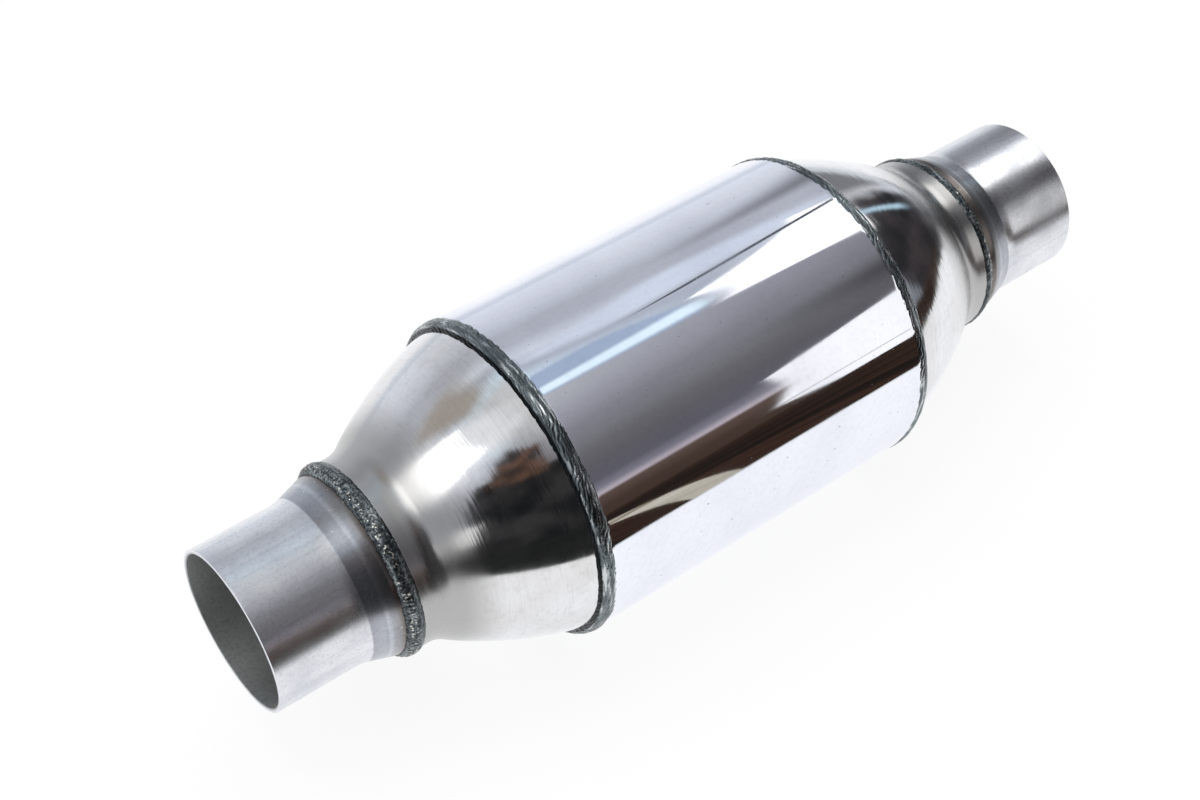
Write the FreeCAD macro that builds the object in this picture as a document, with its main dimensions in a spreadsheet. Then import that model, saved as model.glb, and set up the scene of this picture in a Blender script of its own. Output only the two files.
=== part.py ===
import FreeCAD, Part
import Sketcher
import math
import os
import re
from FreeCAD import Placement, Rotation, Vector

# A round catalytic converter, in millimetres. The gas flows along +X, from the centre of the
# inlet pipe's mouth at the origin to the outlet pipe's mouth. +Z is up.

os.makedirs("parts", exist_ok=True)
doc = FreeCAD.newDocument("converter")

# ---------------------------------------------------------------- driving dimensions
SIZES = {
    "overall_length": 330,
    # pipe stubs
    "pipe_diameter": 55,
    "pipe_wall": 1.5,
    "pipe_straight": 27,
    "pipe_overlap": 10,
    "flare_lead_radius": 20,
    "flare_lead_angle": 13.5,
    "flare_angle": 17.5,
    "flare_foot_radius": 4,
    # cones
    "cone_wall": 1.5,
    "neck_start": 45,
    "neck_diameter": 64.7,
    "neck_straight": 5.5,
    "neck_bend_radius": 12.5,
    "cone_slope": 34.9,
    "crown_radius": 125.7,
    "shoulder_radius": 11.7,
    "rim_overlap": 8,
    # rolled shell
    "shell_start": 101,
    "shell_diameter": 111,
    "shell_wall": 2,
    "seam_width": 1.6,
    "seam_crown_radius": 1.4,
    "seam_turn": 220,
    # ring beads: how far each reaches over the outer piece, its width and its crown's radius
    "inlet_bead_reach": 3.7,
    "inlet_bead_width": 6.8,
    "inlet_bead_radius": 3.8,
    "outlet_bead_reach": 2.2,
    "outlet_bead_width": 5.2,
    "outlet_bead_radius": 3,
    "cone_bead_reach": 4.7,
    "cone_bead_width": 6.7,
    "cone_bead_radius": 4.1,
    "cone_bead_drop": 1.2,
    "bead_depth": 0.45,
    "bead_root": 0.6,
    # matrix and its mounting
    "matrix_length": 90,
    "mantle_wall": 1,
    "mat_thickness": 2.5,
    "mat_tongue": 24,
    "mat_gap": 0.6,
    "mesh_ring_length": 8,
    "ring_sheet": 1.2,
    "ring_leg": 7.5,
    "ring_lip": 4,
    "ring_bend": 1.8,
    "tack_size": 1.1,
    "tack_fullness": 0.6,
    "tack_angle": 14,
    "tack_count": 4,
    # foils, drawn thicker and coarser than the real strips, which are 0.05 mm thick
    "foil_thickness": 0.4,
    "foil_pitch": 5,
    "foil_half_turns": 19,
    "wave_length": 8,
    "wave_clearance": 0.05,
    "wave_flat": 0.26,
    "wave_flank": 0.24,
}

sheet = doc.addObject("Spreadsheet::Sheet", "Sizes")
for row, (alias, amount) in enumerate(SIZES.items(), start=1):
    sheet.set(f"A{row}", alias)
    sheet.set(f"B{row}", str(amount))
    sheet.setAlias(f"B{row}", alias)
doc.recompute()


def bound(text):
    """A formula in plain aliases, such as "pipe_diameter / 2", as an expression on the sheet."""
    return re.sub("[a-z_]+", lambda word: f"Sizes.{word[0]}" if word[0] in SIZES else word[0], text)


def number(text):
    """The formula's present value."""
    return float(sheet.evalExpression(bound(text)))


# Formulas that several pieces share.
PIPE_RADIUS = "pipe_diameter / 2"
LEAD_END_RADIUS = "(pipe_diameter / 2 + flare_lead_radius * (1 - cos( flare_lead_angle * 1deg)))"
NECK_RADIUS = "neck_diameter / 2"
SWAGE_RADIUS = "(neck_diameter / 2 - cone_wall)"
FLARE_RISE = f"({SWAGE_RADIUS} - flare_foot_radius * (1 - cos( flare_angle * 1deg)) - {LEAD_END_RADIUS})"
SHELL_RADIUS = "shell_diameter / 2"
SHELL_BORE = "(shell_diameter / 2 - shell_wall)"
SHELL_LENGTH = "(overall_length - 2 * shell_start)"
MANTLE_RADIUS = "(shell_diameter / 2 - shell_wall - mat_thickness)"
MANTLE_BORE = "(shell_diameter / 2 - shell_wall - mat_thickness - mantle_wall)"
MATRIX_START = "((overall_length - matrix_length) / 2)"


# ---------------------------------------------------------------- sketching helpers
def new_body(label):
    body = doc.addObject("PartDesign::Body", label)
    body.Label = label
    return body


def new_sketch(body, name, role="XZ_Plane"):
    """A sketch on one of the body's own origin planes."""
    sketch = body.newObject("Sketcher::SketchObject", name)
    plane = next(item for item in body.Origin.OriginFeatures if item.Role == role)
    sketch.AttachmentSupport = (plane, [""])
    sketch.MapMode = "FlatFace"
    return sketch


def dimension(sketch, formula, kind, *where):
    """A dimension bound to the sheet."""
    index = sketch.addConstraint(Sketcher.Constraint(kind, *where, number(formula)))
    sketch.setExpression(f"Constraints[{index}]", bound(formula))


class Outline:
    """A pen that walks from the point (x, r) along straight runs and arcs. Each is tangent to the
    one before, except past a corner."""

    def __init__(self, sketch, x, r):
        self.sketch = sketch
        self.at = Vector(x, r, 0)
        self.heading = 0.0
        self.joint = "Tangent"
        self.parts = []

    def add(self, curve, near, far):
        """Adds a curve whose ends near and far (1 or 2) are the walk's start and end."""
        index = self.sketch.addGeometry(curve, False)
        if self.parts:
            previous, _, end = self.parts[-1]
            self.sketch.addConstraint(Sketcher.Constraint(self.joint, previous, end, index, near))
        self.joint = "Tangent"
        self.parts.append((index, near, far))
        return index

    def corner(self, turn):
        """A sharp corner before the next run."""
        self.heading += turn
        self.joint = "Coincident"

    def line(self, length):
        ahead = Vector(math.cos(self.heading), math.sin(self.heading), 0)
        start, self.at = self.at, self.at + ahead * length
        return self.add(Part.LineSegment(start, self.at), 1, 2)

    def arc(self, radius, turn):
        """An arc that turns by the given angle in radians, to the left where it is positive."""
        side = math.copysign(1, turn)
        left = Vector(-math.sin(self.heading), math.cos(self.heading), 0)
        centre = self.at + left * (radius * side)
        begin = self.heading - side * math.pi / 2
        self.heading += turn
        stop = begin + turn
        self.at = centre + Vector(math.cos(stop), math.sin(stop), 0) * radius
        circle = Part.Circle(centre, Vector(0, 0, 1), radius)
        if side > 0:
            return self.add(Part.ArcOfCircle(circle, begin, stop), 1, 2)
        return self.add(Part.ArcOfCircle(circle, stop, begin), 2, 1)

    def close_to_axis(self, joint="Coincident"):
        """Two ends and a base along the sketch's X axis close the outline."""
        first, first_end, _ = self.parts[0]
        last, _, last_end = self.parts[-1]
        start = self.sketch.getPoint(first, first_end)
        corners = [self.at, Vector(self.at.x, 0, 0), Vector(start.x, 0, 0), start]
        sides = [
            self.sketch.addGeometry(Part.LineSegment(a, b), False)
            for a, b in zip(corners, corners[1:])
        ]
        corner, *others = (
            (last, last_end, sides[0], 1),
            (sides[0], 2, sides[1], 1),
            (sides[1], 2, sides[2], 1),
            (sides[2], 2, first, first_end),
        )
        self.sketch.addConstraint(Sketcher.Constraint(joint, *corner))
        for other in others:
            self.sketch.addConstraint(Sketcher.Constraint("Coincident", *other))
        self.sketch.addConstraint(Sketcher.Constraint("Vertical", sides[0]))
        self.sketch.addConstraint(Sketcher.Constraint("Vertical", sides[2]))
        self.sketch.addConstraint(Sketcher.Constraint("PointOnObject", sides[1], 1, -1))
        self.sketch.addConstraint(Sketcher.Constraint("PointOnObject", sides[1], 2, -1))


def revolve(body, sketch):
    """The sketch turned all the way round its own X axis."""
    turned = body.newObject("PartDesign::Revolution", f"{body.Name}_turned")
    turned.Profile = sketch
    turned.ReferenceAxis = (sketch, ["H_Axis"])
    turned.Angle = 360
    doc.recompute()
    return turned


def hollow(body, solid, wall, open_ends=2):
    """The solid's wall only, open at its flat ends, or at the first of them along X."""
    flat = [
        (face.CenterOfMass.x, f"Face{count}")
        for count, face in enumerate(solid.Shape.Faces, start=1)
        if isinstance(face.Surface, Part.Plane)
    ]
    ends = [name for _, name in sorted(flat)[:open_ends]]
    skin = body.newObject("PartDesign::Thickness", f"{body.Name}_wall")
    skin.Base = (solid, ends)
    skin.Value = number(wall)
    skin.setExpression("Value", bound(wall))
    skin.Reversed = True
    skin.Mode = "Skin"
    skin.Join = "Intersection"
    body.Tip = skin
    doc.recompute()
    return body


def turn_end_for_end(body):
    """Moves a piece made for the inlet to the same place at the outlet."""
    body.Placement = Placement(Vector(0, 0, 0), Rotation(Vector(0, 0, 1), 180))
    body.setExpression("Placement.Base.x", bound("overall_length"))
    doc.recompute()
    return body


# ---------------------------------------------------------------- pipes and cones
def pipe(label):
    """A tube stub whose inner end is flared to fit the neck: the bore opens on a gentle arc up to
    a crease, and from there on a straight flare, rounded at its foot."""
    body = new_body(label)
    sketch = new_sketch(body, f"{label}_profile")
    lead, flare = (math.radians(number(name)) for name in ("flare_lead_angle", "flare_angle"))
    end = number("neck_start + pipe_overlap")
    outline = Outline(sketch, 0, number(PIPE_RADIUS))
    stub = outline.line(number("pipe_straight"))
    lead_arc = outline.arc(number("flare_lead_radius"), lead)
    outline.corner(flare - lead)
    run = outline.line(number(FLARE_RISE) / math.sin(flare))
    foot = outline.arc(number("flare_foot_radius"), -flare)
    socket = outline.line(end - outline.at.x)
    outline.close_to_axis()
    sketch.addConstraint(Sketcher.Constraint("PointOnObject", stub, 1, -2))
    sketch.addConstraint(Sketcher.Constraint("Horizontal", stub))
    sketch.addConstraint(Sketcher.Constraint("Horizontal", socket))
    dimension(sketch, PIPE_RADIUS, "DistanceY", -1, 1, stub, 1)
    dimension(sketch, "pipe_straight", "DistanceX", -1, 1, stub, 2)
    dimension(sketch, "flare_lead_radius", "Radius", lead_arc)
    lead_length = "flare_lead_radius * sin( flare_lead_angle * 1deg)"
    dimension(sketch, lead_length, "DistanceX", lead_arc, 1, lead_arc, 2)
    dimension(sketch, f"{FLARE_RISE} / tan( flare_angle * 1deg)", "DistanceX", run, 1, run, 2)
    dimension(sketch, "flare_foot_radius", "Radius", foot)
    dimension(sketch, SWAGE_RADIUS, "DistanceY", -1, 1, socket, 2)
    dimension(sketch, "neck_start + pipe_overlap", "DistanceX", -1, 1, socket, 2)
    return hollow(body, revolve(body, sketch), "pipe_wall")


def cone(label):
    """A spun cone: neck, hollow bend, long crown, shoulder, and a rim that enters the shell."""
    body = new_body(label)
    sketch = new_sketch(body, f"{label}_profile")
    slope = math.radians(number("cone_slope"))
    bend, crown, shoulder = (
        number(name) for name in ("neck_bend_radius", "crown_radius", "shoulder_radius")
    )
    # The crown's own centre is at this radius, below the axis. Its arc eases from the slope to the
    # angle at which the shoulder's arc takes over and turns the wall level with the shell's bore.
    crown_centre = number(NECK_RADIUS) + bend * (1 - math.cos(slope)) - crown * math.cos(slope)
    ease = math.acos((number(SHELL_BORE) - shoulder - crown_centre) / (crown - shoulder))
    end = number("shell_start + rim_overlap")
    outline = Outline(sketch, number("neck_start"), number(NECK_RADIUS))
    neck = outline.line(number("neck_straight"))
    hollow_bend = outline.arc(bend, slope)
    crown_arc = outline.arc(crown, ease - slope)
    shoulder_arc = outline.arc(shoulder, -ease)
    rim = outline.line(end - outline.at.x)
    outline.close_to_axis()
    sketch.addConstraint(Sketcher.Constraint("Horizontal", neck))
    sketch.addConstraint(Sketcher.Constraint("Horizontal", rim))
    dimension(sketch, "neck_start", "DistanceX", -1, 1, neck, 1)
    dimension(sketch, NECK_RADIUS, "DistanceY", -1, 1, neck, 1)
    dimension(sketch, "neck_straight", "DistanceX", neck, 1, neck, 2)
    dimension(sketch, "neck_bend_radius", "Radius", hollow_bend)
    dimension(
        sketch,
        "neck_bend_radius * sin( cone_slope * 1deg)",
        "DistanceX",
        hollow_bend,
        3,
        hollow_bend,
        2,
    )
    dimension(sketch, "crown_radius", "Radius", crown_arc)
    dimension(sketch, "shoulder_radius", "Radius", shoulder_arc)
    dimension(sketch, SHELL_BORE, "DistanceY", -1, 1, rim, 2)
    dimension(sketch, "shell_start + rim_overlap", "DistanceX", -1, 1, rim, 2)
    return hollow(body, revolve(body, sketch), "cone_wall")


# ---------------------------------------------------------------- tubes and rings
def circle(sketch, formula):
    """A circle about the sketch's own origin."""
    index = sketch.addGeometry(Part.Circle(Vector(), Vector(0, 0, 1), number(formula)), False)
    sketch.addConstraint(Sketcher.Constraint("Coincident", index, 3, -1, 1))
    dimension(sketch, formula, "Radius", index)
    return index


def place_along(body, start):
    """Moves a piece that was drawn from x = 0 to its place along the flow axis."""
    body.setExpression("Placement.Base.x", bound(start))
    doc.recompute()
    return body


def tube(label, start, length, outer, inner):
    """A plain tube about the flow axis."""
    body = new_body(label)
    sketch = new_sketch(body, f"{label}_section", "YZ_Plane")
    circle(sketch, outer)
    circle(sketch, inner)
    pad = body.newObject("PartDesign::Pad", f"{label}_pad")
    pad.Profile = sketch
    pad.setExpression("Length", bound(length))
    return place_along(body, start)


def closed_outline(sketch, corners):
    """A polygon through the corners, each pinned by its two formulas in the sketch's own axes."""
    points = [Vector(number(x), number(y), 0) for x, y in corners]
    sides = [
        sketch.addGeometry(Part.LineSegment(a, b), False)
        for a, b in zip(points, points[1:] + points[:1])
    ]
    for side, after in zip(sides, sides[1:] + sides[:1]):
        sketch.addConstraint(Sketcher.Constraint("Coincident", side, 2, after, 1))
    for side, (x, y) in zip(sides, corners):
        dimension(sketch, x, "DistanceX", -1, 1, side, 1)
        dimension(sketch, y, "DistanceY", -1, 1, side, 1)
    return sides


def cut_through(body, sketch, both_ways):
    """Cuts the sketch right through the body, to both sides of its plane or only ahead of it."""
    before = body.Shape.Volume
    pocket = body.newObject("PartDesign::Pocket", f"{sketch.Name}_cut")
    pocket.Profile = sketch
    pocket.Type = "ThroughAll"
    pocket.Midplane = both_ways
    pocket.Reversed = not both_ways
    doc.recompute()
    if body.Shape.Volume >= before:
        raise RuntimeError(f"{sketch.Name} cuts nothing")


def face_seam_away(body):
    """Turns a piece about the flow axis, so that its seam faces away from view, low at the back."""
    body.Placement = Placement(Vector(), Rotation(Vector(1, 0, 0), number("seam_turn")))
    body.setExpression("Placement.Rotation.Angle", bound("seam_turn * 1deg"))
    return place_along(body, "shell_start")


def shell(label):
    """A sheet rolled to a tube, with a narrow gap along its top for the butt weld."""
    body = tube(label, "0", SHELL_LENGTH, SHELL_RADIUS, SHELL_BORE)
    gap = new_sketch(body, f"{label}_gap", "YZ_Plane")
    left, right = "-seam_width / 2", "seam_width / 2"
    low, high = f"{SHELL_BORE} - shell_wall", f"{SHELL_RADIUS} + shell_wall"
    closed_outline(gap, [(left, low), (right, low), (right, high), (left, high)])
    cut_through(body, gap, True)
    return face_seam_away(body)


def shell_seam_weld(label):
    """The butt weld: flush with the bore, and crowned a little above the shell."""
    body = new_body(label)
    sketch = new_sketch(body, f"{label}_section", "YZ_Plane")
    half = number("seam_width") / 2
    bore, crown = number(SHELL_BORE), number("seam_crown_radius")
    top = math.sqrt(number(SHELL_RADIUS) ** 2 - half**2)
    low = math.sqrt(bore**2 - half**2)
    lean = math.asin(half / bore)
    bow = math.asin(half / crown)
    upward = math.pi / 2
    z_axis = Vector(0, 0, 1)
    crown_centre = Vector(0, top - crown * math.cos(bow), 0)
    root_arc = Part.ArcOfCircle(Part.Circle(Vector(), z_axis, bore), upward - lean, upward + lean)
    crown_arc = Part.ArcOfCircle(Part.Circle(crown_centre, z_axis, crown), upward - bow, upward + bow)
    root = sketch.addGeometry(root_arc, False)
    cap = sketch.addGeometry(crown_arc, False)
    sides = [
        sketch.addGeometry(Part.LineSegment(Vector(x, low, 0), Vector(x, top, 0)), False)
        for x in (half, -half)
    ]
    for end, side in zip((1, 2), sides):
        sketch.addConstraint(Sketcher.Constraint("Coincident", root, end, side, 1))
        sketch.addConstraint(Sketcher.Constraint("Coincident", cap, end, side, 2))
        sketch.addConstraint(Sketcher.Constraint("Vertical", side))
    sketch.addConstraint(Sketcher.Constraint("Coincident", root, 3, -1, 1))
    sketch.addConstraint(Sketcher.Constraint("PointOnObject", cap, 3, -2))
    dimension(sketch, SHELL_BORE, "Radius", root)
    dimension(sketch, "seam_crown_radius", "Radius", cap)
    dimension(sketch, "seam_width", "DistanceX", root, 2, root, 1)
    height = f"sqrt(pow({SHELL_RADIUS}; 2) - pow(seam_width / 2; 2))"
    dimension(sketch, height, "DistanceY", -1, 1, sides[0], 2)
    pad = body.newObject("PartDesign::Pad", f"{label}_pad")
    pad.Profile = sketch
    pad.setExpression("Length", bound(SHELL_LENGTH))
    doc.recompute()
    return face_seam_away(body)


def support_mat(label):
    """The fibre mat, wrapped once round the mantle. Its ends meet in a tongue and a slot."""
    length = "(matrix_length - 2 * mesh_ring_length)"
    body = tube(label, f"{MATRIX_START} + mesh_ring_length", length, SHELL_BORE, MANTLE_RADIUS)
    gap = new_sketch(body, f"{label}_joint", "XY_Plane")
    past = "mat_thickness"
    tongue = [f"(matrix_length / 2 - mesh_ring_length {sign} mat_tongue / 2)" for sign in "-+"]
    near, far = "-mat_gap / 2", "mat_gap / 2"
    reach = "mat_tongue / 2"
    route = [(f"-{past}", near), (f"{tongue[0]} + mat_gap", near), (f"{tongue[0]} + mat_gap", reach)]
    route += [(f"{tongue[1]} - mat_gap", reach), (f"{tongue[1]} - mat_gap", near)]
    route += [(f"{length} + {past}", near), (f"{length} + {past}", far), (tongue[1], far)]
    route += [(tongue[1], f"{reach} + mat_gap"), (tongue[0], f"{reach} + mat_gap")]
    route += [(tongue[0], far), (f"-{past}", far)]
    closed_outline(gap, route)
    cut_through(body, gap, False)
    return body


def mesh_ring(label, start):
    """A ring of knitted wire at the mat's edge, its corners rounded by the press."""
    body = tube(label, start, "mesh_ring_length", SHELL_BORE, MANTLE_RADIUS)
    rims = [
        f"Edge{count}"
        for count, edge in enumerate(body.Shape.Edges, start=1)
        if isinstance(edge.Curve, Part.Circle)
    ]
    pad = body.Tip
    round_off = body.newObject("PartDesign::Fillet", f"{label}_round")
    round_off.Base = (pad, rims)
    round_off.setExpression("Radius", bound("mat_thickness / 5"))
    body.Tip = round_off
    doc.recompute()
    return body


def stop_ring(label):
    """A pressed ring of angle section: a leg along the shell and a lip over the mantle's edge."""
    body = new_body(label)
    sketch = new_sketch(body, f"{label}_profile")
    leg_start = f"{MATRIX_START} - ring_leg"
    outline = Outline(sketch, number(leg_start), number(SHELL_BORE))
    leg = outline.line(number("ring_leg - ring_bend"))
    bend = outline.arc(number("ring_bend"), -math.pi / 2)
    outline.close_to_axis("Tangent")
    sketch.addConstraint(Sketcher.Constraint("Horizontal", leg))
    dimension(sketch, leg_start, "DistanceX", -1, 1, leg, 1)
    dimension(sketch, SHELL_BORE, "DistanceY", -1, 1, leg, 1)
    dimension(sketch, "ring_bend", "Radius", bend)
    dimension(sketch, MATRIX_START, "DistanceX", -1, 1, bend, 1)
    hollow(body, revolve(body, sketch), "ring_sheet", 1)
    hole = new_sketch(body, f"{label}_hole", "YZ_Plane")
    circle(hole, f"{SHELL_BORE} - ring_lip")
    cut_through(body, hole, False)
    return body


def ring_tacks(label):
    """Small fillet welds between the stop ring's leg and the shell's bore, evenly spaced."""
    edge = number(f"{MATRIX_START} - ring_leg")
    bore, size = number(SHELL_BORE), number("tack_size")
    angle, count = number("tack_angle"), int(number("tack_count"))
    root, toe, top = Vector(edge, 0, bore), Vector(edge - size, 0, bore), Vector(edge, 0, bore - size)
    middle = number("tack_fullness") * size
    crown = Vector(edge - middle, 0, bore - middle)
    outline = Part.Wire(
        [Part.LineSegment(top, root).toShape(), Part.LineSegment(root, toe).toShape()]
        + [Part.Arc(toe, crown, top).toShape()]
    )
    tack = Part.Face(outline).revolve(Vector(), Vector(1, 0, 0), angle)
    tacks = []
    for index in range(count):
        copy = tack.copy()
        copy.rotate(Vector(), Vector(1, 0, 0), 360 * index / count)
        tacks.append(copy)
    feature = doc.addObject("Part::Feature", label)
    feature.Label = label
    feature.Shape = Part.makeCompound(tacks)
    return feature


# ---------------------------------------------------------------- ring beads
def bead_blank(label, toe, root, shoulder, crown_radius):
    """A ring with a rounded crown, from the toe to the shoulder, and a root inside the walls."""
    body = new_body(f"{label}_blank")
    sketch = new_sketch(body, f"{label}_section")
    near, low, far = (Vector(number(x), number(r), 0) for x, r in (toe, root, shoulder))
    radius = number(crown_radius)
    across = far - near
    half = across.Length / 2
    outward = Vector(-across.y, across.x, 0).normalize()
    crest = near + across / 2 + outward * (radius - math.sqrt(radius**2 - half**2))
    crown = sketch.addGeometry(Part.Arc(near, crest, far), False)
    ends = [1, 2] if sketch.getPoint(crown, 1).distanceToPoint(near) < half else [2, 1]
    sides = [
        sketch.addGeometry(Part.LineSegment(a, b), False) for a, b in ((near, low), (low, far))
    ]
    sketch.addConstraint(Sketcher.Constraint("Coincident", crown, ends[0], sides[0], 1))
    sketch.addConstraint(Sketcher.Constraint("Coincident", sides[0], 2, sides[1], 1))
    sketch.addConstraint(Sketcher.Constraint("Coincident", sides[1], 2, crown, ends[1]))
    dimension(sketch, crown_radius, "Radius", crown)
    for (x, r), (side, end) in zip((toe, root, shoulder), ((sides[0], 1), (sides[0], 2), (sides[1], 2))):
        dimension(sketch, x, "DistanceX", -1, 1, side, end)
        dimension(sketch, r, "DistanceY", -1, 1, side, end)
    revolve(body, sketch)
    return body


def bead(label, blank, neighbours):
    """The part of the blank that stands on its neighbours and shares no space with them."""
    walls = doc.addObject("Part::Compound", f"{label}_walls")
    walls.Links = neighbours
    ring = doc.addObject("Part::Cut", label)
    ring.Base = blank
    ring.Tool = walls
    ring.Label = label
    doc.recompute()
    return ring


def pipe_bead_blank(label, end):
    """The blank of the bead round the cone neck's edge, on the pipe. The inlet's is the wider."""
    reach, width, radius = (f"{end}_bead_{size}" for size in ("reach", "width", "radius"))
    toe = (f"neck_start - {reach}", f"{SWAGE_RADIUS} - bead_depth")
    root = ("neck_start + bead_root", f"{SWAGE_RADIUS} - bead_depth")
    shoulder = (f"neck_start - {reach} + {width}", f"{NECK_RADIUS} - bead_depth")
    return bead_blank(label, toe, root, shoulder, radius)


def cone_bead_blank(label):
    """The blank of the bead round the shell's edge, on the cone."""
    toe = ("shell_start - cone_bead_reach", f"{SHELL_BORE} - cone_bead_drop")
    root = ("shell_start + bead_root", f"{SHELL_BORE} - bead_depth")
    shoulder = (
        "shell_start - cone_bead_reach + cone_bead_width",
        f"{SHELL_RADIUS} - bead_depth",
    )
    return bead_blank(label, toe, root, shoulder, "cone_bead_radius")


# ---------------------------------------------------------------- wound matrix
# Each strip is wound from half turns. Their centres lie, in turn, a quarter of the pitch to either
# side of the flow axis, so that every half turn runs on smoothly from the one before.
def turn_centre(index):
    quarter = number("foil_pitch") / 4
    return -quarter if index % 2 == 0 else quarter


def turn_radius(index):
    """The radius of half turn number index, counted back from the last, which meets the mantle."""
    step = number("foil_pitch") / 2
    last = number(MANTLE_BORE) - step / 2 - number("foil_thickness") / 2
    return last - step * (number("foil_half_turns") - 1 - index)


def turn_point(centre, radius, angle):
    """A point of the section across the flow, at the given angle from +Y towards +Z."""
    return Vector(0, centre + radius * math.cos(angle), radius * math.sin(angle))


def flat_foil(label):
    """The smooth strip: its turns, and a last half turn that lies against the mantle's bore."""
    turns = int(number("foil_half_turns"))
    half = number("foil_thickness") / 2
    runs = [(turn_centre(i), turn_radius(i), i * math.pi) for i in range(turns)]
    runs.append((0, number(MANTLE_BORE) - half, turns * math.pi))
    edges = []
    for side in (half, -half):
        for centre, radius, begin in runs:
            points = [turn_point(centre, radius + side, begin + step * math.pi / 2) for step in range(3)]
            edges.append(Part.Arc(*points).toShape())
    ends = []
    for centre, radius, angle in (runs[0], (*runs[-1][:2], (turns + 1) * math.pi)):
        inner, outer = (turn_point(centre, radius + side, angle) for side in (-half, half))
        ends.append(Part.LineSegment(inner, outer).toShape())
    outline = Part.Wire(Part.__sortEdges__(edges + ends))
    return strip(label, outline)


def wave_foil(label):
    """The corrugated strip: flat crests and troughs that ride on the smooth strip's turns."""
    thickness = number("foil_thickness")
    wave = number("wave_length")
    reach = number("foil_pitch") / 2 - thickness / 2 - number("wave_clearance")
    middles = [turn_radius(i) + number("foil_pitch") / 2 for i in range(int(number("foil_half_turns")) - 2)]
    starts = [math.pi * sum(middles[:i]) for i in range(len(middles) + 1)]
    # Four corners to a wave, as shares of its length: the crest's two ends and the trough's.
    flat, flank = number("wave_flat"), number("wave_flank")
    shares = (0, flat, flat + flank, 2 * flat + flank)
    corners = []
    for count in range(int(starts[-1] / wave) * 4):
        along = (count // 4 + shares[count % 4]) * wave
        half_turn = max(i for i, start in enumerate(starts[:-1]) if start <= along)
        angle = half_turn * math.pi + (along - starts[half_turn]) / middles[half_turn]
        height = reach if count % 4 < 2 else -reach
        corners.append((turn_centre(half_turn), middles[half_turn] + height, angle, height > 0))
    outer = [turn_point(c, r if high else r + thickness, angle) for c, r, angle, high in corners]
    inner = [turn_point(c, r - thickness if high else r, angle) for c, r, angle, high in corners]
    return strip(label, Part.makePolygon(outer + inner[::-1] + outer[:1]))


def strip(label, outline):
    """A wound strip: its outline across the flow, run through the matrix's length."""
    face = Part.Face(outline)
    feature = doc.addObject("Part::Feature", label)
    feature.Label = label
    feature.Shape = face.extrude(Vector(number("matrix_length"), 0, 0))
    feature.Placement = Placement(Vector(number(MATRIX_START), 0, 0), Rotation())
    return feature


# ---------------------------------------------------------------- the converter
def build():
    """Makes every piece and returns them in the order in which they are fitted."""
    shared = [shell("shell"), shell_seam_weld("shell_seam_weld")]
    pieces = list(shared)
    mesh_starts = {
        "inlet": MATRIX_START,
        "outlet": f"overall_length - {MATRIX_START} - mesh_ring_length",
    }
    for side, mesh_start in mesh_starts.items():
        turned = (lambda piece: piece) if side == "inlet" else turn_end_for_end
        stub = turned(pipe(f"{side}_pipe"))
        funnel = turned(cone(f"{side}_cone"))
        pipe_weld, cone_weld = f"{side}_pipe_weld", f"{side}_cone_weld"
        pieces += [stub, funnel]
        pieces.append(bead(pipe_weld, turned(pipe_bead_blank(pipe_weld, side)), [stub, funnel]))
        pieces.append(bead(cone_weld, turned(cone_bead_blank(cone_weld)), [funnel, *shared]))
        pieces.append(mesh_ring(f"{side}_mesh_ring", mesh_start))
        pieces.append(turned(stop_ring(f"{side}_stop_ring")))
        pieces.append(turned(ring_tacks(f"{side}_ring_tacks")))
    mantle = tube("matrix_mantle", MATRIX_START, "matrix_length", MANTLE_RADIUS, MANTLE_BORE)
    pieces += [support_mat("support_mat"), mantle]
    pieces += [flat_foil("flat_foil"), wave_foil("wave_foil")]
    return pieces


def export(pieces):
    """Checks every object and every piece, then writes one file for each piece."""
    doc.recompute()
    for item in doc.Objects:
        if "Invalid" in item.State or "Error" in item.State:
            raise RuntimeError(f"{item.Label} failed: {item.State}")
    for piece in pieces:
        if piece.Shape.isNull() or not piece.Shape.isValid():
            raise RuntimeError(f"{piece.Label} has no valid shape")
    for piece in pieces:
        piece.Shape.exportStep(f"parts/{piece.Label}.step")
        print(f"{piece.Label}: {piece.Shape.Volume / 1000:.1f} cm3, {len(piece.Shape.Solids)} solid(s)")


export(build())
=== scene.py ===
import math

import bpy
import numpy as np
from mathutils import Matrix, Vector


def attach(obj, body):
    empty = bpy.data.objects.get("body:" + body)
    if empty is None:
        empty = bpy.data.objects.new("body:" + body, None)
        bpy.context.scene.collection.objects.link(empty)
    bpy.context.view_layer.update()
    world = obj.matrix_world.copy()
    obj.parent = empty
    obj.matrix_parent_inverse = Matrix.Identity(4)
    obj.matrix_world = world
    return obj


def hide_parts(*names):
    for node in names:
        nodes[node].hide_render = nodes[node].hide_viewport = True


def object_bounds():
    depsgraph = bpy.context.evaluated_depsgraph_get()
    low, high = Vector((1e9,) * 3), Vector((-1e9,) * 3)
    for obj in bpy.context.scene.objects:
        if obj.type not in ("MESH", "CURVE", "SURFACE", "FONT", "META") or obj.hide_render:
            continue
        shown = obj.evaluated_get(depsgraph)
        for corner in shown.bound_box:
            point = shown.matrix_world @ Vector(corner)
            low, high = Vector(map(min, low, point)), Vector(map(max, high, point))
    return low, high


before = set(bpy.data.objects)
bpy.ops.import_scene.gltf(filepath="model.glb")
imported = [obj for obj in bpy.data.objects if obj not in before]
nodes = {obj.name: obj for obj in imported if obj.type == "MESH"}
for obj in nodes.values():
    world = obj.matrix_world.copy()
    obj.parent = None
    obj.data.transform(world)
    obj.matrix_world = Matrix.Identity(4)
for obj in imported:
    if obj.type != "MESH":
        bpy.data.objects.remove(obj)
cad_low, cad_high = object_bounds()

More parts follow.
